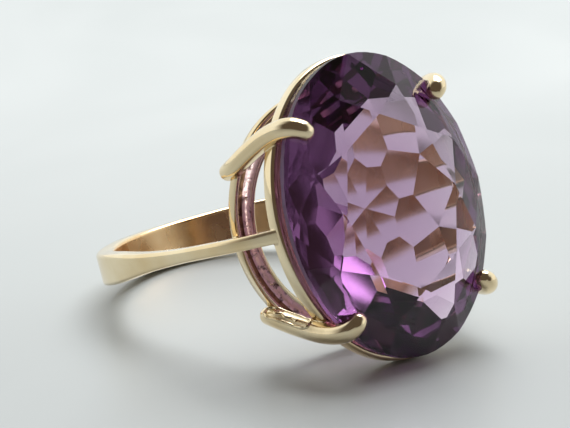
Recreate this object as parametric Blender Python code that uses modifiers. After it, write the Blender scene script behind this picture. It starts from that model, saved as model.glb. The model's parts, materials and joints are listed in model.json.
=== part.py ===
# Cocktail ring: a large oval gem held by four claws over two gallery rails, on a slender
# tapering shank. Metres, +Z up, lying on its side. Each piece is modelled in the ring's own
# frame: x across the finger, y along the finger, z out through the gem, origin at the centre
# of the finger hole. One parent empty then lays the whole ring down.
import math

import bmesh
import bpy
from mathutils import Matrix, Vector

MM = 0.001
SEAM = 0.04 * MM               # soldered seam between neighbouring metal pieces
GEM_HALF_X, GEM_HALF_Y = 6.78 * MM, 9.0 * MM
GIRDLE_Z = 14.9 * MM           # middle of the girdle above the centre of the finger hole
GIRDLE_THICK = 0.42 * MM
CROWN_HIGH = 1.55 * MM
PAVILION_DEEP = 4.9 * MM
TABLE_SHARE = 0.58             # table corner radius as a share of the girdle
STAR_TIP, BREAK_TIP = 0.79, 0.22
UPPER_RAIL = dict(half_x=6.88 * MM, half_y=9.08 * MM, low=12.88 * MM, tall=1.12 * MM,
                  wall=0.8 * MM, edge=0.2 * MM)
LOWER_RAIL = dict(half_x=7.32 * MM, half_y=7.5 * MM, low=9.41 * MM, tall=0.66 * MM,
                  wall=1.45 * MM, edge=0.12 * MM)
BORE_RADIUS = 8.7 * MM
SHANK_THICK = 1.2 * MM
SHANK_TOP = (7.3 * MM, 13.55 * MM)   # x and z where each shoulder ends
SHANK_WIDTHS = ((0, 2.75), (30, 2.6), (57, 2.15), (85, 1.85), (105, 1.2), (125, 0.85), (180, 0.8))
CLAW_RADIUS = 0.6 * MM
CLAW_PATH = ((6.3, 4.3, 9.35), (6.32, 4.5, 10.2), (6.08, 5.05, 11.5), (5.8, 5.6, 13.0),
             (5.6, 5.86, 14.1), (5.4, 5.94, 15.0), (5.16, 5.86, 15.6), (4.92, 5.68, 15.92),
             (4.74, 5.52, 15.96))
CLAW_SWELL = (0.86, 1, 1.02, 1.03, 1.04, 1.05, 1, 0.86, 0.42)
CLAWS = (("claw_left_top", -1, 1, (0, -0.14)), ("claw_left_low", -1, -1, (0.12, -0.3)),
         ("claw_right_top", 1, 1, (0, 0.1)), ("claw_right_low", 1, -1, (-0.05, -0.26)))
UP = (0.0373, 0.9462, 0.3215)      # which way is up, in the ring's own frame, as it lies on its side


def clear_scene():
    for obj in list(bpy.data.objects):
        bpy.data.objects.remove(obj, do_unlink=True)


def collection(name):
    made = bpy.data.collections.new(name)
    bpy.context.scene.collection.children.link(made)
    return made


def material(name, colour, roughness, metallic):
    made = bpy.data.materials.new(name)
    made.use_nodes = True
    shader = made.node_tree.nodes["Principled BSDF"]
    shader.inputs["Base Color"].default_value = (*colour, 1)
    shader.inputs["Roughness"].default_value = roughness
    shader.inputs["Metallic"].default_value = metallic
    made.diffuse_color = (*colour, 1)
    return made


def add_object(name, mesh, paint=None):
    """A part when it has a material, else a hidden cutter."""
    obj = bpy.data.objects.new(name, mesh)
    (parts if paint else cutters).objects.link(obj)
    obj.parent = laid
    if paint:
        mesh.materials.clear()
        mesh.materials.append(paint)
    else:
        obj.hide_render = True
        obj.display_type = "WIRE"
    return obj


def mesh_from(bm, name, smooth):
    bmesh.ops.recalc_face_normals(bm, faces=bm.faces)
    mesh = bpy.data.meshes.new(name)
    bm.to_mesh(mesh)
    bm.free()
    for face in mesh.polygons:
        face.use_smooth = smooth
    return mesh


def add_modifier(obj, name, kind, **settings):
    made = obj.modifiers.new(name, kind)
    for key, value in settings.items():
        setattr(made, key, value)
    return made


def cut(obj, cutter):
    add_modifier(obj, "cut " + cutter.name, "BOOLEAN", operation="DIFFERENCE", solver="EXACT",
                 object=cutter)


# ---- gem: a unit-radius brilliant cut by planes, then scaled to the oval -------------------
def polar(radius, degrees, z):
    angle = math.radians(degrees)
    return Vector((radius * math.cos(angle), radius * math.sin(angle), z))


def shave(bm, a, b, c):
    """Cuts away what lies outside the plane through three points."""
    normal = (b - a).cross(c - a).normalized()
    if normal.dot(a) < 0:
        normal = -normal
    geometry = bm.verts[:] + bm.edges[:] + bm.faces[:]
    done = bmesh.ops.bisect_plane(bm, geom=geometry, plane_co=a, plane_no=normal, dist=1e-7,
                                  clear_outer=True)
    rim = [item for item in done["geom_cut"] if isinstance(item, bmesh.types.BMEdge)]
    bmesh.ops.contextual_create(bm, geom=rim)


def gem_mesh(name, grow=0.0):
    bm = bmesh.new()
    top, low = GIRDLE_THICK / 2, -GIRDLE_THICK / 2
    crown, culet = top + CROWN_HIGH, low - PAVILION_DEEP
    scale = 1 / GEM_HALF_Y      # heights in the same unit as the girdle radius of 1
    top, low, crown, culet = (value * scale for value in (top, low, crown, culet))
    bmesh.ops.create_cone(bm, cap_ends=True, segments=32, radius1=1, radius2=1,
                          depth=2 * max(crown, -culet) + 0.2,
                          matrix=Matrix.Rotation(math.radians(5.625), 4, "Z"))
    bezel_fall = (crown - top) / (1 - TABLE_SHARE)
    half = math.radians(22.5)
    star_z = crown - bezel_fall * (STAR_TIP * math.cos(half) - TABLE_SHARE)
    main_rise = (low - culet) / 1.0
    break_z = culet + main_rise * BREAK_TIP * math.cos(half)
    shave(bm, polar(1, 0, crown), polar(1, 120, crown), polar(1, 240, crown))
    for k in range(8):
        mid = 45 * k
        side = Vector((-math.sin(math.radians(mid)), math.cos(math.radians(mid)), 0))
        shave(bm, polar(1, mid, top), polar(TABLE_SHARE, mid, crown), polar(1, mid, top) + side)
        shave(bm, polar(1, mid, low), polar(0, mid, culet), polar(1, mid, low) + side)
        shave(bm, polar(TABLE_SHARE, mid, crown), polar(TABLE_SHARE, mid + 45, crown),
              polar(STAR_TIP, mid + 22.5, star_z))
        for turn in (-1, 1):
            edge = polar(1, mid + turn * 22.5, top)
            shave(bm, polar(1, mid, top), edge, polar(STAR_TIP, mid + turn * 22.5, star_z))
            edge = polar(1, mid + turn * 22.5, low)
            shave(bm, polar(1, mid, low), edge, polar(BREAK_TIP, mid + turn * 22.5, break_z))
    size = (GEM_HALF_X + grow, GEM_HALF_Y + grow, GEM_HALF_Y + grow)
    bmesh.ops.scale(bm, vec=size, verts=bm.verts)
    bmesh.ops.translate(bm, vec=(0, 0, GIRDLE_Z), verts=bm.verts)
    bmesh.ops.remove_doubles(bm, verts=bm.verts, dist=2e-6)
    return mesh_from(bm, name, smooth=False)


# ---- gallery rails: an oval wall thickened inwards -----------------------------------------
def rail(name, paint, half_x, half_y, low, tall, wall, edge, grow=0.0):
    bm = bmesh.new()
    bmesh.ops.create_circle(bm, segments=72, radius=1)
    bmesh.ops.scale(bm, vec=(half_x + grow, half_y + grow, 1), verts=bm.verts)
    bmesh.ops.translate(bm, vec=(0, 0, low - grow), verts=bm.verts)
    grown = bmesh.ops.extrude_edge_only(bm, edges=bm.edges[:])["geom"]
    raised = [item for item in grown if isinstance(item, bmesh.types.BMVert)]
    bmesh.ops.translate(bm, vec=(0, 0, tall + 2 * grow), verts=raised)
    obj = add_object(name, mesh_from(bm, name, smooth=True), paint)
    add_modifier(obj, "wall", "SOLIDIFY", thickness=wall + 2 * grow, offset=-1,
                 use_even_offset=True)
    if not grow:
        add_modifier(obj, "edges", "BEVEL", width=edge, segments=2, limit_method="ANGLE",
                     angle_limit=math.radians(50))
    return obj


# ---- claws: round wire that leans outwards, then bends in over the crown -------------------
def claw(name, side_x, side_y, slide, paint=None):
    curve = bpy.data.curves.new(name, "CURVE")
    curve.dimensions = "3D"
    curve.resolution_u = 3
    curve.bevel_depth = CLAW_RADIUS + (0 if paint else SEAM)
    curve.bevel_resolution = 2
    curve.use_fill_caps = True
    spline = curve.splines.new("NURBS")
    spline.points.add(len(CLAW_PATH) - 1)
    for point, (x, y, z), swell in zip(spline.points, CLAW_PATH, CLAW_SWELL):
        point.co = ((side_x * x + slide[0]) * MM, (side_y * y + slide[1]) * MM, z * MM, 1)
        point.radius = swell
    spline.order_u = 3
    spline.use_endpoint_u = True
    guide = bpy.data.objects.new(name + "_guide", curve)
    bpy.context.scene.collection.objects.link(guide)
    bpy.context.view_layer.update()
    evaluated = guide.evaluated_get(bpy.context.evaluated_depsgraph_get())
    mesh = bpy.data.meshes.new_from_object(evaluated)
    bpy.data.objects.remove(guide, do_unlink=True)
    bm = bmesh.new()
    bm.from_mesh(mesh)
    bmesh.ops.remove_doubles(bm, verts=bm.verts, dist=1e-6)
    return add_object(name, mesh_from(bm, name, smooth=True), paint)


# ---- shank: one bar, round under the finger, straight at the shoulders ---------------------
def shank_width(degrees):
    for (a, first), (b, second) in zip(SHANK_WIDTHS, SHANK_WIDTHS[1:]):
        if a <= degrees <= b:
            share = (degrees - a) / (b - a)
            return (first + (second - first) * share) * MM
    return SHANK_WIDTHS[-1][1] * MM


def shank_stations():
    """Centre, outward direction and width of each section, from one shoulder end to the other."""
    middle = BORE_RADIUS + SHANK_THICK / 2
    top = Vector((SHANK_TOP[0], 0, SHANK_TOP[1]))
    turn = math.atan2(top.x, top.z) + math.acos(middle / top.length)
    last = 180 - math.degrees(turn)
    stations = []
    for k in range(-12, 13):
        angle = math.radians(last * k / 12)
        out = Vector((math.sin(angle), 0, -math.cos(angle)))
        stations.append((out * middle, out, shank_width(abs(last * k / 12))))
    for side in (-1, 1):
        joint, out, _ = stations[0 if side < 0 else -1]
        end = Vector((side * top.x, 0, top.z))
        arm = [(joint.lerp(end, share), out, shank_width(last + 75 * share))
               for share in (0.12, 0.26, 0.42, 0.6, 0.8, 1)]
        stations = arm[::-1] + stations if side < 0 else stations + arm
    return stations


def shank(name, paint):
    bm = bmesh.new()
    rings = []
    for centre, out, width in shank_stations():
        along = Vector((0, 1, 0))
        corner = 0.22 * MM
        x, y = SHANK_THICK / 2, width / 2
        outline = ((x - corner / 2, y - corner * 0.7), (x, y - corner * 1.3), (x, corner * 1.3 - y),
                   (x - corner / 2, corner * 0.7 - y), (x - corner * 1.4, -y),
                   (0.25 * MM - x, -y), (-x, 0.2 * MM - y), (-x, y - 0.2 * MM),
                   (0.25 * MM - x, y), (x - corner * 1.4, y))
        rings.append([bm.verts.new(centre + out * r + along * s) for r, s in outline])
    for first, second in zip(rings, rings[1:]):
        for k in range(len(first)):
            n = (k + 1) % len(first)
            bm.faces.new((first[k], first[n], second[n], second[k]))
    bm.faces.new(rings[0])
    bm.faces.new(rings[-1][::-1])
    return add_object(name, mesh_from(bm, name, smooth=True), paint)


clear_scene()
parts = collection("cocktail_ring")
cutters = collection("cutters")
laid = bpy.data.objects.new("ring_axes", None)
parts.objects.link(laid)
gold = material("yellow_gold", (0.86, 0.70, 0.42), 0.16, 1.0)
amethyst = material("amethyst", (0.22, 0.06, 0.38), 0.04, 0.0)

gem = add_object("amethyst", gem_mesh("amethyst"), amethyst)
gem_seat = add_object("gem_seat", gem_mesh("gem_seat", grow=SEAM))
upper = rail("upper_gallery_rail", gold, **UPPER_RAIL)
lower = rail("lower_gallery_rail", gold, **LOWER_RAIL)
upper_seat = rail("upper_rail_seat", None, **UPPER_RAIL, grow=SEAM)
lower_seat = rail("lower_rail_seat", None, **LOWER_RAIL, grow=SEAM)
band = shank("shank", gold)
for seat in (upper_seat, lower_seat):
    cut(band, seat)
for label, side_x, side_y, slide in CLAWS:
    wire = claw(label, side_x, side_y, slide, gold)
    cut(wire, gem_seat)
    notch = claw(label + "_notch", side_x, side_y, slide)
    for piece in (upper, lower):
        cut(piece, notch)

# Lay the ring on its side with the gem facing -Y, then set it down so that its box is centred
# on the origin and its lowest point is at z = 0.
up = Vector(UP).normalized()
back = -(Vector((0, 0, 1)) - up * up.z).normalized()
laid.matrix_world = Matrix((back.cross(up), back, up)).to_4x4()
bpy.context.view_layer.update()
graph = bpy.context.evaluated_depsgraph_get()
points = [obj.evaluated_get(graph).matrix_world @ vertex.co for obj in parts.objects
          if obj.type == "MESH" for vertex in obj.evaluated_get(graph).data.vertices]
low, high = (Vector([pick(p[k] for p in points) for k in range(3)]) for pick in (min, max))
laid.location = (-(low.x + high.x) / 2, -(low.y + high.y) / 2, -low.z)
bpy.context.view_layer.update()
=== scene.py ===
import json
import math

import bpy
from mathutils import Matrix, Vector


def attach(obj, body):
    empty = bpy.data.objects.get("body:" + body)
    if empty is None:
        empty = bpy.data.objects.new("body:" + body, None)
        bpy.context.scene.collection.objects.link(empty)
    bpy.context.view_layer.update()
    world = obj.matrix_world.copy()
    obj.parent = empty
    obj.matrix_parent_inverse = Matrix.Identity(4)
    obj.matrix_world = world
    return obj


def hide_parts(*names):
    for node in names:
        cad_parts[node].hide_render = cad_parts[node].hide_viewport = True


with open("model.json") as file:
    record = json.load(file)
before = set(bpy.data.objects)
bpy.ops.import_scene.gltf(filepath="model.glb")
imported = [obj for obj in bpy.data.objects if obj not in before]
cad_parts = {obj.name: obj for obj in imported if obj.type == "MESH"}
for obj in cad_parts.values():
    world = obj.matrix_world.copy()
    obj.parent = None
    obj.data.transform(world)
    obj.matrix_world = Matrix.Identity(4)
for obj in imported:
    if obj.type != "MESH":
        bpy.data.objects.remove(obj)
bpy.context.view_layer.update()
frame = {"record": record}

mm = 0.001
weldGap = 0.002 * mm

# The ring lies on its side. Every piece is modelled in the ring's own axes: x across the finger,
# y along it, z out through the gem, from the centre of the finger hole. toFloor then lays the
# finished mesh down where the CAD ring lies, which the gem's table gives.
ringUp = Vector((0.0373, 0.9462, 0.3215)).normalized()
ringBack = -(Vector((0, 0, 1)) - ringUp * ringUp.z).normalized()
layDown = Matrix((ringBack.cross(ringUp), ringBack, ringUp))
tableHeight = 16.66 * mm
tableMount = Vector(frame["record"]["mounts"][0]["pos_m"])
toFloor = Matrix.Translation(tableMount - layDown @ Vector((0, 0, tableHeight))) @ layDown.to_4x4()


def linear(hexColour):
    # sRGB hex to the linear numbers that the shaders take
    channels = [int(hexColour[k:k + 2], 16) / 255 for k in (0, 2, 4)]
    return [c / 12.92 if c <= 0.04045 else ((c + 0.055) / 1.055) ** 2.4 for c in channels] + [1]


def addNode(tree, kind, settings=None, links=None, **attributes):
    node = tree.nodes.new(kind)
    for name, value in attributes.items():
        setattr(node, name, value)
    for name, value in (settings or {}).items():
        node.inputs[name].default_value = value
    for name, source in (links or {}).items():
        tree.links.new(source, node.inputs[name])
    return node


def newMaterial(name):
    material = bpy.data.materials.new(name)
    material.use_nodes = True
    material.node_tree.nodes.clear()
    return material, material.node_tree


def startClean():
    if bpy.context.mode != "OBJECT":
        bpy.ops.object.mode_set(mode="OBJECT")
    bpy.ops.object.select_all(action="DESELECT")


def editMode():
    bpy.ops.object.mode_set(mode="EDIT")
    bpy.ops.mesh.select_mode(type="VERT")


def objectMode():
    bpy.ops.object.mode_set(mode="OBJECT")
    return bpy.context.object


def applyModifier(piece, kind, **settings):
    startClean()
    piece.select_set(True)
    bpy.context.view_layer.objects.active = piece
    modifier = piece.modifiers.new(kind.lower(), kind)
    for name, value in settings.items():
        setattr(modifier, name, value)
    bpy.ops.object.modifier_apply(modifier=modifier.name)


def putInPlace(piece, name, slotName, *nodes):
    # names the piece, lays it down with the ring and ties it to the frame
    piece.name = name
    piece.data.name = name
    piece.data.transform(toFloor)
    if nodes:
        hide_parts(*nodes)
    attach(piece, "root")
    print(name, len(piece.data.polygons), "faces")
    return piece


def amethystMaterial():
    # Amethyst, a clear purple quartz. The colour lies in its depth, so the long paths at both ends
    # go nearly black and the short one through the table stays lilac. The "grind" attribute holds
    # each facet's finish: crown polished, back less and least by the culet, girdle ground and milky.
    material, tree = newMaterial("facetedAmethyst")
    place = addNode(tree, "ShaderNodeTexCoord").outputs["Object"]
    finish = addNode(tree, "ShaderNodeAttribute", attribute_name="grind").outputs["Fac"]
    milky = addNode(tree, "ShaderNodeMapRange", {"From Min": 0.3, "From Max": 0.45}, {"Value": finish})
    colour = addNode(tree, "ShaderNodeMix", {"A": linear("FBF6FC"), "B": linear("C9BCCB")},
                     {"Factor": milky.outputs["Result"]}, data_type="RGBA")
    # faint polishing waves 2 mm long on the facets, grit 0.1 mm across on the ground girdle
    waves = addNode(tree, "ShaderNodeTexNoise", {"Scale": 480.0, "Detail": 1.0}, {"Vector": place})
    grit = addNode(tree, "ShaderNodeTexNoise", {"Scale": 9000.0, "Detail": 3.0}, {"Vector": place})
    ripple = addNode(tree, "ShaderNodeBump", {"Strength": 0.1, "Distance": 0.012 * mm},
                     {"Height": waves.outputs["Fac"]})
    ground = addNode(tree, "ShaderNodeBump", {"Distance": 0.02 * mm}, {
        "Strength": milky.outputs["Result"], "Height": grit.outputs["Fac"],
        "Normal": ripple.outputs["Normal"]})
    body = addNode(tree, "ShaderNodeBsdfPrincipled", {"IOR": 1.544, "Transmission Weight": 1.0}, {
        "Base Color": colour.outputs["Result"], "Roughness": finish, "Normal": ground.outputs["Normal"]})
    depth = addNode(tree, "ShaderNodeVolumeAbsorption", {"Color": linear("AC54AE"), "Density": 165.0})
    addNode(tree, "ShaderNodeOutputMaterial", links={
        "Surface": body.outputs["BSDF"], "Volume": depth.outputs["Volume"]})
    return material


def goldMaterial(name, hexPair, roughness, hairline, pitting, pitSize, darkPits):
    # 14 carat yellow gold: a pale warm metal. Polishing leaves hairlines, drawn 0.2 mm apart so
    # that they show, and soft tone changes some 3 mm across. An as-cast skin is pitted, scatters
    # the light and is darker in its pits.
    material, tree = newMaterial(name)
    place = addNode(tree, "ShaderNodeTexCoord").outputs["Object"]
    hairs = addNode(tree, "ShaderNodeTexNoise", {"Scale": 5200.0, "Detail": 4.0}, {"Vector": place})
    pits = addNode(tree, "ShaderNodeTexNoise", {"Scale": 1 / pitSize, "Detail": 5.0, "Roughness": 0.62},
                   {"Vector": place})
    tone = addNode(tree, "ShaderNodeTexNoise", {"Scale": 330.0, "Detail": 3.0}, {"Vector": place})
    colour = addNode(tree, "ShaderNodeValToRGB", links={"Fac": tone.outputs["Fac"]})
    colour.color_ramp.elements[0].color = linear(hexPair[0])
    colour.color_ramp.elements[0].position = 0.3
    colour.color_ramp.elements[1].color = linear(hexPair[1])
    colour.color_ramp.elements[1].position = 0.7
    pitDarkening = addNode(tree, "ShaderNodeValToRGB", links={"Fac": pits.outputs["Fac"]})
    pitDarkening.color_ramp.elements[0].color = (darkPits, darkPits, darkPits, 1)
    pitDarkening.color_ramp.elements[0].position = 0.37
    pitDarkening.color_ramp.elements[1].color = (0, 0, 0, 1)
    pitDarkening.color_ramp.elements[1].position = 0.49
    skin = addNode(tree, "ShaderNodeMix", {"B": linear("4A3424")}, {
        "Factor": pitDarkening.outputs["Color"], "A": colour.outputs["Color"]}, data_type="RGBA")
    polish = addNode(tree, "ShaderNodeMapRange", {
        "From Min": 0.3, "From Max": 0.7, "To Min": roughness * 0.75, "To Max": roughness * 1.35},
        {"Value": tone.outputs["Fac"]})
    pitted = addNode(tree, "ShaderNodeBump", {"Strength": pitting, "Distance": 0.1 * mm},
                     {"Height": pits.outputs["Fac"]})
    brushed = addNode(tree, "ShaderNodeBump", {"Strength": hairline, "Distance": 0.006 * mm},
                      {"Height": hairs.outputs["Fac"], "Normal": pitted.outputs["Normal"]})
    metal = addNode(tree, "ShaderNodeBsdfPrincipled", {"Metallic": 1.0}, {
        "Base Color": skin.outputs["Result"], "Roughness": polish.outputs["Result"],
        "Normal": brushed.outputs["Normal"]})
    addNode(tree, "ShaderNodeOutputMaterial", links={"Surface": metal.outputs["BSDF"]})
    return material


polished = goldMaterial("polishedYellowGold", ("E9D1A5", "F4E5C4"), roughness=0.13, hairline=0.14,
                        pitting=0.04, pitSize=1.1 * mm, darkPits=0.0)
# satin finish on the finger side; its warmer, more orange colour is a painted glow of light reflected
# inside the band
satinPaintedGlow = goldMaterial("satinPaintedGlowGold", ("E9BE88", "F4D6A8"), roughness=0.26, hairline=0.5,
                     pitting=0.1, pitSize=0.8 * mm, darkPits=0.0)
# the as-cast skin is real, but its pink colour is a painted reflection of the amethyst above it
asCastPaintedReflection = goldMaterial("asCastPaintedReflectionGold", ("F0C9BF", "FAE4DE"), roughness=0.36, hairline=0.6,
                      pitting=1.0, pitSize=0.45 * mm, darkPits=0.85)
# a rough cast skin whose dark brown colour is painted shade in the channel of the lower rail
castSkinPaintedShade = goldMaterial("castSkinPaintedShadeGold", ("6E503A", "A47E5C"), roughness=0.4, hairline=0.6,
                        pitting=1.0, pitSize=0.4 * mm, darkPits=0.95)
solderGold = goldMaterial("solderedYellowGold", ("E6D0A6", "F1E2C2"), roughness=0.18, hairline=0.4,
                          pitting=0.4, pitSize=0.6 * mm, darkPits=0.25)
clearStone = amethystMaterial()

gem = {"halfWidth": 6.78 * mm, "halfLength": 9.0 * mm, "girdleHeight": 14.9 * mm,
       "girdleThick": 0.42 * mm, "crown": 1.55 * mm, "pavilion": 4.65 * mm,
       "table": 0.58, "starTip": 0.79,
       # pavilion rows: how many facets, turned by what share of a step, radius where they touch
       "rows": ((32, 0.5, 0.97), (16, 0.5, 0.84), (8, 0.0, 0.64), (8, 0.5, 0.4), (8, 0.0, 0.18)),
       "belly": 2.05,       # 1 cuts a straight cone, 2 a bowl
       # roughness of the facets, the culet's own reach out to a share of the girdle
       "crownFinish": 0, "backFinish": 0.03, "culetFinish": 0.13, "culetReach": 0.5, "girdleFinish": 0.5}


def onCircle(radius, degrees, height):
    angle = math.radians(degrees)
    return Vector((radius * math.cos(angle), radius * math.sin(angle), height))


def grind(point, normal):
    # one pass on the lap: all that stands outside the plane goes, and the cut is a flat facet
    if normal.dot(point) < 0:
        normal = -normal
    bpy.ops.mesh.select_all(action="SELECT")
    bpy.ops.mesh.bisect(plane_co=point, plane_no=normal, use_fill=True, clear_outer=True, threshold=1e-5)


def grindThrough(a, b, c):
    grind(a, (b - a).cross(c - a).normalized())


def makeAmethyst():
    unit = gem["halfLength"]       # cut round at a girdle radius of 1, then drawn out to the oval
    top = gem["girdleThick"] / 2 / unit
    crown = top + gem["crown"] / unit
    culet = -top - gem["pavilion"] / unit
    table, star = gem["table"], gem["starTip"]
    startClean()
    bpy.ops.mesh.primitive_cylinder_add(vertices=64, radius=1, depth=2)
    editMode()
    grind(Vector((0, 0, crown)), Vector((0, 0, 1)))
    starHeight = crown - (crown - top) / (1 - table) * (star * math.cos(math.pi / 8) - table)
    for k in range(8):
        middle = 45 * k
        edge = onCircle(1, middle, top)
        grindThrough(edge, onCircle(table, middle, crown), edge + onCircle(1, middle + 90, 0))
        grindThrough(onCircle(table, middle, crown), onCircle(table, middle + 45, crown),
                     onCircle(star, middle + 22.5, starHeight))
        for turn in (-22.5, 22.5):
            grindThrough(edge, onCircle(1, middle + turn, top), onCircle(star, middle + turn, starHeight))
    deep = -top - culet
    for count, shift, radius in gem["rows"]:
        height = culet + deep * radius ** gem["belly"]
        slope = deep * gem["belly"] * radius ** (gem["belly"] - 1)
        for k in range(count):
            degrees = 360 * (k + shift) / count
            grind(onCircle(radius, degrees, height), onCircle(slope, degrees, -1))
    bpy.ops.mesh.select_all(action="SELECT")
    bpy.ops.mesh.remove_doubles(threshold=1e-5)
    bpy.ops.transform.resize(value=(gem["halfWidth"], gem["halfLength"], unit), center_override=(0, 0, 0))
    bpy.ops.transform.translate(value=(0, 0, gem["girdleHeight"]))
    bpy.ops.mesh.normals_make_consistent(inside=False)
    piece = objectMode()
    bpy.ops.object.shade_flat()
    piece.data.materials.append(clearStone)
    finish = piece.data.attributes.new("grind", "FLOAT", "FACE")
    for face, value in zip(piece.data.polygons, finish.data):
        reach = math.hypot(face.center.x / gem["halfWidth"], face.center.y / gem["halfLength"])
        if abs(face.normal.z) < 0.02:
            value.value = gem["girdleFinish"]
        elif face.normal.z > 0:
            value.value = gem["crownFinish"]
        else:
            value.value = gem["culetFinish"] if reach < gem["culetReach"] else gem["backFinish"]
    return piece


upperRail = {"halfWidth": 6.88 * mm, "halfLength": 9.08 * mm, "low": 12.88 * mm, "tall": 1.12 * mm,
             "wall": 0.8 * mm, "edge": 0.24 * mm}
lowerRail = {"halfWidth": 7.32 * mm, "halfLength": 7.5 * mm, "low": 9.41 * mm, "tall": 0.66 * mm,
             "wall": 1.45 * mm, "edge": 0.16 * mm, "channel": 0.12 * mm,
             # shares of the wall, 0.5 at its outer side and -0.5 at its bore: where the finish and its
             # painted reflection and shade change, and the foot of the channel's slope on the bore's side
             "pinkInner": -0.3, "stripInner": 0.07, "stripOuter": 0.26, "channelFoot": -0.1}


def makeUpperRail():
    rail = upperRail
    startClean()
    bpy.ops.mesh.primitive_circle_add(vertices=192, radius=1, location=(0, 0, rail["low"]))
    bpy.ops.object.transform_apply(location=True)
    editMode()
    bpy.ops.mesh.select_all(action="SELECT")
    bpy.ops.transform.resize(value=(rail["halfWidth"], rail["halfLength"], 1), center_override=(0, 0, 0))
    bpy.ops.mesh.extrude_region_move(TRANSFORM_OT_translate={"value": (0, 0, rail["tall"])})
    bpy.ops.mesh.select_all(action="SELECT")
    bpy.ops.mesh.normals_make_consistent(inside=False)
    piece = objectMode()
    applyModifier(piece, "SOLIDIFY", thickness=rail["wall"], offset=-1, use_even_offset=True)
    applyModifier(piece, "BEVEL", width=rail["edge"], segments=4, limit_method="ANGLE",
                  angle_limit=math.radians(50))
    applyModifier(piece, "WEIGHTED_NORMAL", weight=90)
    bpy.ops.object.shade_smooth()
    piece.data.materials.append(polished)
    piece.data.materials.append(asCastPaintedReflection)
    # the bore side of the wall faces the stone and takes the as-cast gold, its pink a painted reflection
    # of the amethyst
    for face in piece.data.polygons:
        if face.normal.x * face.center.x + face.normal.y * face.center.y < -0.7 * mm:
            face.material_index = 1
    return piece


def makeLowerRail():
    # its section is drawn once, with a shallow channel left by the casting, then spun round
    rail = lowerRail
    startClean()
    bpy.ops.mesh.primitive_plane_add(size=1)
    editMode()
    bpy.ops.mesh.select_all(action="SELECT")
    bpy.ops.mesh.bevel(offset=rail["edge"] / rail["wall"], segments=4, affect="VERTICES")
    for share in (rail["stripInner"], rail["channelFoot"], rail["stripOuter"], rail["pinkInner"]):
        bpy.ops.mesh.select_all(action="SELECT")
        bpy.ops.mesh.bisect(plane_co=(share, 0, 0), plane_no=(1, 0, 0))
    piece = objectMode()
    piece.data.transform(Matrix.Rotation(math.radians(90), 4, "X"))
    middle = rail["halfWidth"] - rail["wall"] / 2
    for vertex in piece.data.vertices:
        flat = abs(vertex.co.z) > 0.499 and abs(vertex.co.x) < 0.3
        vertex.co.x = middle + vertex.co.x * rail["wall"]
        vertex.co.z = rail["low"] + (vertex.co.z + 0.5) * rail["tall"]
        if flat and vertex.co.z > rail["low"] + rail["tall"] / 2:
            vertex.co.z -= rail["channel"]
    editMode()
    bpy.ops.mesh.select_all(action="SELECT")
    bpy.ops.mesh.spin(steps=192, angle=2 * math.pi, center=(0, 0, 0), axis=(0, 0, 1))
    bpy.ops.mesh.select_all(action="SELECT")
    bpy.ops.mesh.remove_doubles(threshold=weldGap)
    bpy.ops.transform.resize(value=(1, rail["halfLength"] / rail["halfWidth"], 1),
                             center_override=(0, 0, 0))
    bpy.ops.mesh.normals_make_consistent(inside=False)
    piece = objectMode()
    applyModifier(piece, "WEIGHTED_NORMAL", weight=90)
    bpy.ops.object.shade_smooth()
    for skin in (polished, asCastPaintedReflection, castSkinPaintedShade):
        piece.data.materials.append(skin)
    stretch = rail["halfWidth"] / rail["halfLength"]
    for face in piece.data.polygons:
        share = (math.hypot(face.center.x, face.center.y * stretch) - middle) / rail["wall"]
        # the pink band: as-cast gold whose pink is a painted reflection of the amethyst
        if rail["pinkInner"] < share < rail["stripInner"]:
            face.material_index = 1
        # the strip by the outer side: cast skin, its dark brown painted shade in the channel
        elif rail["stripInner"] < share < rail["stripOuter"]:
            face.material_index = 2
    return piece


claw = {"radius": 0.6 * mm, "sides": 32, "steps": 64, "voxel": 0.045 * mm, "smooth": 8,
        "path": ((6.3, 4.3, 9.35), (6.32, 4.5, 10.2), (6.08, 5.05, 11.5), (5.8, 5.6, 13.0),
                 (5.6, 5.86, 14.1), (5.4, 5.94, 15.0), (5.16, 5.86, 15.6), (4.92, 5.68, 15.92),
                 (4.74, 5.52, 15.96)),
        "swell": (0.92, 1.0, 1.02, 1.03, 1.04, 1.05, 1.03, 0.98, 0.93),
        # node, side and how far in mm each claw was set out of place
        "set": (("claw_left_top", -1, 1, (0, -0.14)), ("claw_left_low", -1, -1, (0.12, -0.3)),
                ("claw_right_top", 1, 1, (0, 0.1)), ("claw_right_low", 1, -1, (-0.05, -0.26)))}


def smoothPoint(points, place):
    # a smooth curve through the points, place counts them from the first
    k = min(int(place), len(points) - 2)
    t = place - k
    a, b, c, d = (points[min(max(k + n, 0), len(points) - 1)] for n in (-1, 0, 1, 2))
    return 0.5 * (2 * b + (c - a) * t + (2 * a - 5 * b + 4 * c - d) * t ** 2
                  + (3 * b - a - 3 * c + d) * t ** 3)


def clawPoints(sideX, sideY, slide):
    return [Vector((sideX * x + slide[0], sideY * y + slide[1], z)) * mm for x, y, z in claw["path"]]


def drawWires(routes, radius, resolution):
    # round wires as one mesh, each open or closed and through its own (place, thickness) points
    startClean()
    bpy.ops.curve.primitive_nurbs_path_add()
    curve = bpy.context.object.data
    curve.splines.clear()
    for route, closed in routes:
        spline = curve.splines.new("POLY")
        spline.points.add(len(route) - 1)
        spline.use_cyclic_u = closed
        for point, (place, thickness) in zip(spline.points, route):
            point.co = (*place, 1)
            point.radius = thickness
    curve.bevel_depth = radius
    curve.bevel_resolution = resolution
    curve.use_fill_caps = True
    bpy.ops.object.convert(target="MESH")
    return bpy.context.object


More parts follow.
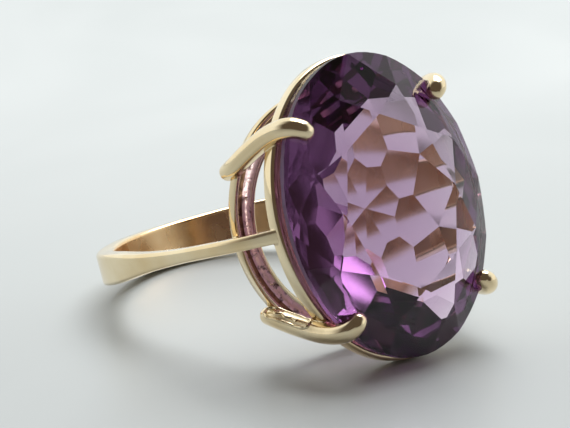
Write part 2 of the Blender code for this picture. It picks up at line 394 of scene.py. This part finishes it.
def makeClaw(sideX, sideY, slide):
    # round wire with a domed end at the lower rail and another over the crown
    points = clawPoints(sideX, sideY, slide)
    sizes = [Vector((s, 0, 0)) for s in claw["swell"]]
    steps = claw["steps"]
    route = [(smoothPoint(points, (len(points) - 1) * k / steps),
              smoothPoint(sizes, (len(points) - 1) * k / steps).x) for k in range(steps + 1)]
    dome = ((0.35, 0.94), (0.62, 0.79), (0.85, 0.53), (0.97, 0.24), (1.0, 0.02))
    foot, footSize = route[0]
    tip, tipSize = route[-1]
    down = (foot - route[1][0]).normalized() * claw["radius"] * footSize
    out = (tip - route[-2][0]).normalized() * claw["radius"] * tipSize
    route = ([(foot + down * along, footSize * share) for along, share in reversed(dome)] + route
             + [(tip + out * along, tipSize * share) for along, share in dome])
    piece = drawWires([(route, False)], claw["radius"], claw["sides"] // 4 - 1)
    editMode()
    bpy.ops.mesh.select_all(action="SELECT")
    bpy.ops.mesh.remove_doubles(threshold=weldGap)
    bpy.ops.mesh.normals_make_consistent(inside=False)
    objectMode()
    # the wire folds on the inside of its tight bend, remeshing makes that one smooth skin
    applyModifier(piece, "REMESH", mode="VOXEL", voxel_size=claw["voxel"])
    applyModifier(piece, "SMOOTH", factor=0.5, iterations=claw["smooth"])
    bpy.ops.object.shade_smooth()
    piece.data.materials.append(polished)
    return piece


shank = {"bore": 8.7 * mm, "thick": 1.2 * mm, "corner": 0.26 * mm,
         "shoulderTop": (7.3 * mm, 13.55 * mm), "armSteps": 20, "filedFrom": 9.0 * mm,
         "filedAway": 0.83, "filedCurve": 1.6, "lean": 0.156,
         # width in mm at angles in degrees from the bottom of the finger hole
         "widths": ((0, 2.75), (30, 2.6), (57, 2.15), (85, 1.85), (105, 1.2), (125, 0.85), (180, 0.8))}


def shankWidth(degrees):
    stations = [Vector((0, width, 0)) for _, width in shank["widths"]]
    for k, ((a, _), (b, _)) in enumerate(zip(shank["widths"], shank["widths"][1:])):
        if a <= degrees <= b:
            return smoothPoint(stations, k + (degrees - a) / (b - a)).y * mm
    return stations[-1].y * mm


def makeShank():
    middle = shank["bore"] + shank["thick"] / 2
    topX, topZ = shank["shoulderTop"]
    last = math.pi - math.atan2(topX, topZ) - math.acos(middle / math.hypot(topX, topZ))
    startClean()
    bpy.ops.mesh.primitive_plane_add(size=shank["thick"])
    editMode()
    bpy.ops.mesh.select_all(action="SELECT")
    bpy.ops.mesh.bevel(offset=shank["corner"], segments=5, affect="VERTICES")
    piece = objectMode()
    # the section stands at the left end of the round part, facing along it
    out = Vector((-math.sin(last), 0, -math.cos(last)))
    ahead = Vector((math.cos(last), 0, -math.sin(last)))
    piece.data.transform(Matrix.Translation(out * middle)
                         @ Matrix((out, Vector((0, 1, 0)), ahead)).transposed().to_4x4())
    editMode()
    bpy.ops.mesh.select_all(action="SELECT")
    bpy.ops.mesh.spin(steps=96, angle=2 * last, center=(0, 0, 0), axis=(0, 1, 0))
    objectMode()
    for side in (-1, 1):
        joint = Vector((side * math.sin(last), 0, -math.cos(last))) * middle
        step = (Vector((side * topX, 0, topZ)) - joint) / shank["armSteps"]
        toward = step.normalized()
        for k in range(shank["armSteps"]):
            here = joint + step * k
            objectMode()
            for vertex in piece.data.vertices:
                offset = vertex.co - here
                vertex.select = abs(offset.dot(toward)) < 0.01 * mm and offset.length < mm
            for edge in piece.data.edges:
                edge.select = all(piece.data.vertices[v].select for v in edge.vertices)
            for face in piece.data.polygons:
                face.select = all(piece.data.vertices[v].select for v in face.vertices)
            editMode()
            bpy.ops.mesh.extrude_region_move(TRANSFORM_OT_translate={"value": step})
    objectMode()
    # the taper: the sides are drawn out, the corners stay, and each arm is filed flush at its rail
    for vertex in piece.data.vertices:
        angle = math.degrees(math.atan2(abs(vertex.co.x), -vertex.co.z))
        spare = (shankWidth(angle) - shank["thick"]) / 2
        vertex.co.y += spare if vertex.co.y > 0 else -spare
        filed = max(0, (vertex.co.z - shank["filedFrom"]) / (topZ - shank["filedFrom"]))
        inner = topX - shank["thick"] / 2 + (topZ - vertex.co.z) * shank["lean"]
        away = (abs(vertex.co.x) - inner) * shank["filedAway"] * min(filed ** shank["filedCurve"], 1)
        vertex.co.x -= math.copysign(away, vertex.co.x)
    editMode()
    bpy.ops.mesh.select_all(action="SELECT")
    bpy.ops.mesh.remove_doubles(threshold=weldGap)
    bpy.ops.mesh.normals_make_consistent(inside=False)
    objectMode()
    bpy.ops.object.shade_smooth_by_angle(angle=math.radians(40))
    applyModifier(piece, "WEIGHTED_NORMAL", weight=90, keep_sharp=True)
    piece.data.materials.append(polished)
    piece.data.materials.append(satinPaintedGlow)
    # the satin finger side also carries the painted warm glow in its colour
    for face in piece.data.polygons:       # the finger side is left satin
        if math.hypot(face.center.x, face.center.z) < shank["bore"] + 0.05 * mm and face.center.z < 2 * mm:
            face.material_index = 1
    return piece


amethyst = makeAmethyst()
rails = [makeUpperRail(), makeLowerRail()]
band = makeShank()
claws = [makeClaw(*place) for _, *place in claw["set"]]

solder = {"voxel": 0.045 * mm, "smooth": 14, "sink": 0.012 * mm, "low": 9.75 * mm, "high": 13.3 * mm,
          "clawReach": 1.5 * mm, "armReach": 1.3 * mm}


def makeSolder(parts, centre, reach, rounds=1):
    # the fillet that solder leaves in a joint: the metal near the joint is copied, fused and
    # smoothed, which rounds off what stands out and fills the creases between the pieces
    startClean()
    copies = []
    for part in parts:
        bpy.ops.object.select_all(action="DESELECT")
        part.select_set(True)
        bpy.context.view_layer.objects.active = part
        bpy.ops.object.duplicate()
        copies.append(bpy.context.object)
    for copy in copies:
        copy.select_set(True)
    bpy.context.view_layer.objects.active = copies[0]
    bpy.ops.object.join()
    piece = bpy.context.object
    editMode()
    for axis in (Vector((1, 0, 0)), Vector((0, 1, 0)), Vector((0, 0, 1))):
        for side in (-1, 1):
            bpy.ops.mesh.select_all(action="SELECT")
            bpy.ops.mesh.bisect(plane_co=centre + axis * side * reach, plane_no=axis * side,
                                use_fill=True, clear_outer=True)
    objectMode()
    applyModifier(piece, "REMESH", mode="VOXEL", voxel_size=solder["voxel"])
    applyModifier(piece, "SMOOTH", factor=0.5, iterations=solder["smooth"] * rounds)
    applyModifier(piece, "DISPLACE", strength=-solder["sink"], mid_level=0.0)
    bpy.ops.object.shade_smooth()
    piece.data.materials.clear()
    piece.data.materials.append(solderGold)
    for face in piece.data.polygons:
        face.material_index = 0
    return piece


solderJoints = []
for wire in claws:
    for rail, height in ((rails[1], solder["low"]), (rails[0], solder["high"])):
        nearby = (vertex.co for vertex in wire.data.vertices if abs(vertex.co.z - height) < 0.2 * mm)
        spot = min(nearby, key=lambda place: math.hypot(place.x, place.y))
        solderJoints.append(makeSolder([wire, rail], spot.copy(), solder["clawReach"]))
for sideX in (-1, 1):
    for rail, x, height, rounds in ((rails[0], 7.1 * mm, solder["high"], 4),
                                    (rails[1], 7.6 * mm, solder["low"], 2)):
        spot = Vector((sideX * x, 0, height))
        solderJoints.append(makeSolder([band, rail], spot, solder["armReach"], rounds))

# from and to count the claw's points, middle and spread are degrees round the wire
castSeam = {"from": 0.45, "to": 2.9, "middle": 30, "spread": 42, "bead": 0.12 * mm, "lift": 0.57 * mm,
            "steps": 64, "ridgeSteps": 16, "sides": 16}


def filledOut(value):
    # fills out a sine or cosine, so that the lip is a rounded rectangle and not an oval
    return math.copysign(abs(value) ** 0.6, value)


def makeCastSeam():
    # the lower left claw keeps a rough recess from its casting: a raised lip with a ridge inside
    points = clawPoints(*claw["set"][1][1:])

    def onClaw(place, degrees, lift):
        centre = smoothPoint(points, place)
        along = (smoothPoint(points, place + 0.05) - centre).normalized()
        upward = (Vector((0, 1, 0)) - along * along.y).normalized()
        outward = along.cross(upward)
        if outward.x > 0:
            outward = -outward
        angle = math.radians(degrees)
        return centre + (upward * math.cos(angle) + outward * math.sin(angle)) * lift

    half = (castSeam["to"] - castSeam["from"]) / 2
    lip = []
    for k in range(castSeam["steps"]):
        turn = 2 * math.pi * k / castSeam["steps"]
        wobble = 1 + 0.08 * math.sin(3 * turn + 1) + 0.04 * math.sin(7 * turn)
        lip.append(onClaw(castSeam["from"] + half * (1 + filledOut(math.cos(turn))),
                          castSeam["middle"] + castSeam["spread"] * filledOut(math.sin(turn)) * wobble,
                          castSeam["lift"]))
    ridge = [onClaw(castSeam["from"] + half * (0.5 + k / castSeam["ridgeSteps"]),
                    castSeam["middle"] + 6 * math.sin(k * 0.9),
                    castSeam["lift"] * 0.97) for k in range(castSeam["ridgeSteps"] + 1)]
    routes = []
    for run, closed in ((lip, True), (ridge, False)):
        thick = [1 + 0.14 * math.sin(k * 0.9) + 0.12 * math.sin(k * 0.35) for k in range(len(run))]
        routes.append((list(zip(run, thick)), closed))
    piece = drawWires(routes, castSeam["bead"], castSeam["sides"] // 4 - 1)
    editMode()
    bpy.ops.mesh.select_all(action="SELECT")
    bpy.ops.mesh.normals_make_consistent(inside=False)
    objectMode()
    bpy.ops.object.shade_smooth()
    piece.data.materials.append(solderGold)
    return piece


seam = makeCastSeam()

putInPlace(amethyst, "facetedAmethyst", "amethyst", "amethyst")
putInPlace(rails[0], "upperRail", "yellow_gold", "upper_gallery_rail")
putInPlace(rails[1], "lowerRail", "yellow_gold", "lower_gallery_rail")
putInPlace(band, "taperedShank", "yellow_gold", "shank")
for wire, (node, *_) in zip(claws, claw["set"]):
    words = node.split("_")
    putInPlace(wire, words[0] + words[1].title() + words[2].title(), "yellow_gold", node)
putInPlace(seam, "castSeam", "yellow_gold")
for k, joint in enumerate(solderJoints):
    putInPlace(joint, f"solderJoint{k + 1}", "yellow_gold")
print("ring assembled")

# near and far are how far back from the ring the slab takes its two greys: painted light, darker near
# the camera and paler towards the back. The room is dim towards dimSide: 1 is straight that way and 0
# the other, dimStart and dimFull bound the change.
studio = {"shadedNearGrey": "AAADAB", "litFarGrey": "CACDCB", "cloudGrey": "B8BCBA", "floorSize": 3.0,
          "near": -0.045, "far": 0.075, "cloudScale": 22.0, "skyStrength": 1.1,
          "dimSide": (-0.56, -0.62, 0.55), "dimFull": 0.72, "dimStart": 0.53,
          "sky": (0.95, 0.98, 0.97, 1), "dim": (0.088, 0.07, 0.058, 1)}


def makeFloor():
    startClean()
    bpy.ops.mesh.primitive_plane_add(size=studio["floorSize"])
    floor = bpy.context.object
    floor.name = "paleFloor"
    material, tree = newMaterial("honedMarble")
    # honed marble: a faint gloss, soft grey clouds some 45 mm across, and painted light that makes it
    # paler towards the back
    place = addNode(tree, "ShaderNodeTexCoord").outputs["Object"]
    away = addNode(tree, "ShaderNodeVectorMath", {1: (0.56, 0.83, 0)}, {0: place}, operation="DOT_PRODUCT")
    back = addNode(tree, "ShaderNodeMapRange", {"From Min": studio["near"], "From Max": studio["far"]},
                   {"Value": away.outputs["Value"]}, interpolation_type="SMOOTHSTEP")
    # the slab's two greys are painted light: darker near the camera, paler towards the back
    slabWithPaintedFalloff = addNode(tree, "ShaderNodeMix", {
        "A": linear(studio["shadedNearGrey"]), "B": linear(studio["litFarGrey"])},
        {"Factor": back.outputs["Result"]}, data_type="RGBA")
    clouds = addNode(tree, "ShaderNodeTexNoise", {
        "Scale": studio["cloudScale"], "Detail": 3.0, "Distortion": 0.6}, {"Vector": place})
    cloudy = addNode(tree, "ShaderNodeMapRange", {"From Min": 0.35, "From Max": 0.65, "To Min": 0.25},
                     {"Value": clouds.outputs["Fac"]})
    colour = addNode(tree, "ShaderNodeMix", {"A": linear(studio["cloudGrey"])}, {
        "Factor": cloudy.outputs["Result"], "B": slabWithPaintedFalloff.outputs["Result"]}, data_type="RGBA")
    stone = addNode(tree, "ShaderNodeBsdfPrincipled", {"Roughness": 0.4},
                    {"Base Color": colour.outputs["Result"]})
    addNode(tree, "ShaderNodeOutputMaterial", links={"Surface": stone.outputs["BSDF"]})
    floor.data.materials.append(material)


def makeWorld():
    # a bright room all round, dim on the side that the viewer's head and camera would shade
    world = bpy.data.worlds.new("softRoom")
    bpy.context.scene.world = world
    world.use_nodes = True
    tree = world.node_tree
    tree.nodes.clear()
    way = addNode(tree, "ShaderNodeTexCoord").outputs["Generated"]
    towardsDim = addNode(tree, "ShaderNodeVectorMath", {1: studio["dimSide"]}, {0: way},
                         operation="DOT_PRODUCT")
    shade = addNode(tree, "ShaderNodeMapRange", {"From Min": -1.0, "From Max": 1.0},
                    {"Value": towardsDim.outputs["Value"]})
    ramp = addNode(tree, "ShaderNodeValToRGB", links={"Fac": shade.outputs["Result"]})
    ramp.color_ramp.elements[0].color = studio["sky"]
    ramp.color_ramp.elements[0].position = studio["dimStart"]
    ramp.color_ramp.elements[1].color = studio["dim"]
    ramp.color_ramp.elements[1].position = studio["dimFull"]
    sky = addNode(tree, "ShaderNodeBackground", {"Strength": studio["skyStrength"]},
                  {"Color": ramp.outputs["Color"]})
    addNode(tree, "ShaderNodeOutputWorld", links={"Surface": sky.outputs["Background"]})


def addPanel(name, place, aim, width, height, power, colour):
    startClean()
    bpy.ops.object.light_add(type="AREA", location=place)
    lamp = bpy.context.object
    lamp.name = name
    lamp.data.shape = "RECTANGLE"
    lamp.data.size = width
    lamp.data.size_y = height
    lamp.data.energy = power
    lamp.data.color = linear(colour)[:3]
    lamp.rotation_euler = (Vector(aim) - Vector(place)).to_track_quat("-Z", "Y").to_euler()


makeFloor()
makeWorld()
addPanel("overheadPanel", place=(0.14, 0.1, 0.33), aim=(0, 0, 0), width=0.34, height=0.26, power=1.7,
         colour="F8FBFF")

view = {"azimuth": -33.93, "elevation": 17.46, "roll": 2.72, "distance": 153.85 * mm, "lens": 168.1,
        "aim": Vector((-4.88, -7.05, 8.94)) * mm}


def addCamera():
    azimuth, elevation, roll = (math.radians(view[key]) for key in ("azimuth", "elevation", "roll"))
    back = Vector((math.sin(azimuth) * math.cos(elevation), -math.cos(azimuth) * math.cos(elevation),
                   math.sin(elevation)))
    level = Vector((0, 0, 1)).cross(back).normalized()
    upright = back.cross(level)
    right = level * math.cos(roll) - upright * math.sin(roll)
    up = upright * math.cos(roll) + level * math.sin(roll)
    startClean()
    bpy.ops.object.camera_add(location=view["aim"] + back * view["distance"],
                              rotation=Matrix((right, up, back)).transposed().to_euler())
    camera = bpy.context.object
    camera.data.lens = view["lens"]
    camera.data.clip_start = mm
    bpy.context.scene.camera = camera
    bpy.context.scene.view_settings.view_transform = "Standard"
    bpy.context.scene.cycles.max_bounces = 24
    bpy.context.scene.cycles.transmission_bounces = 20
    bpy.context.scene.cycles.glossy_bounces = 8


addCamera()
print("studio ready")
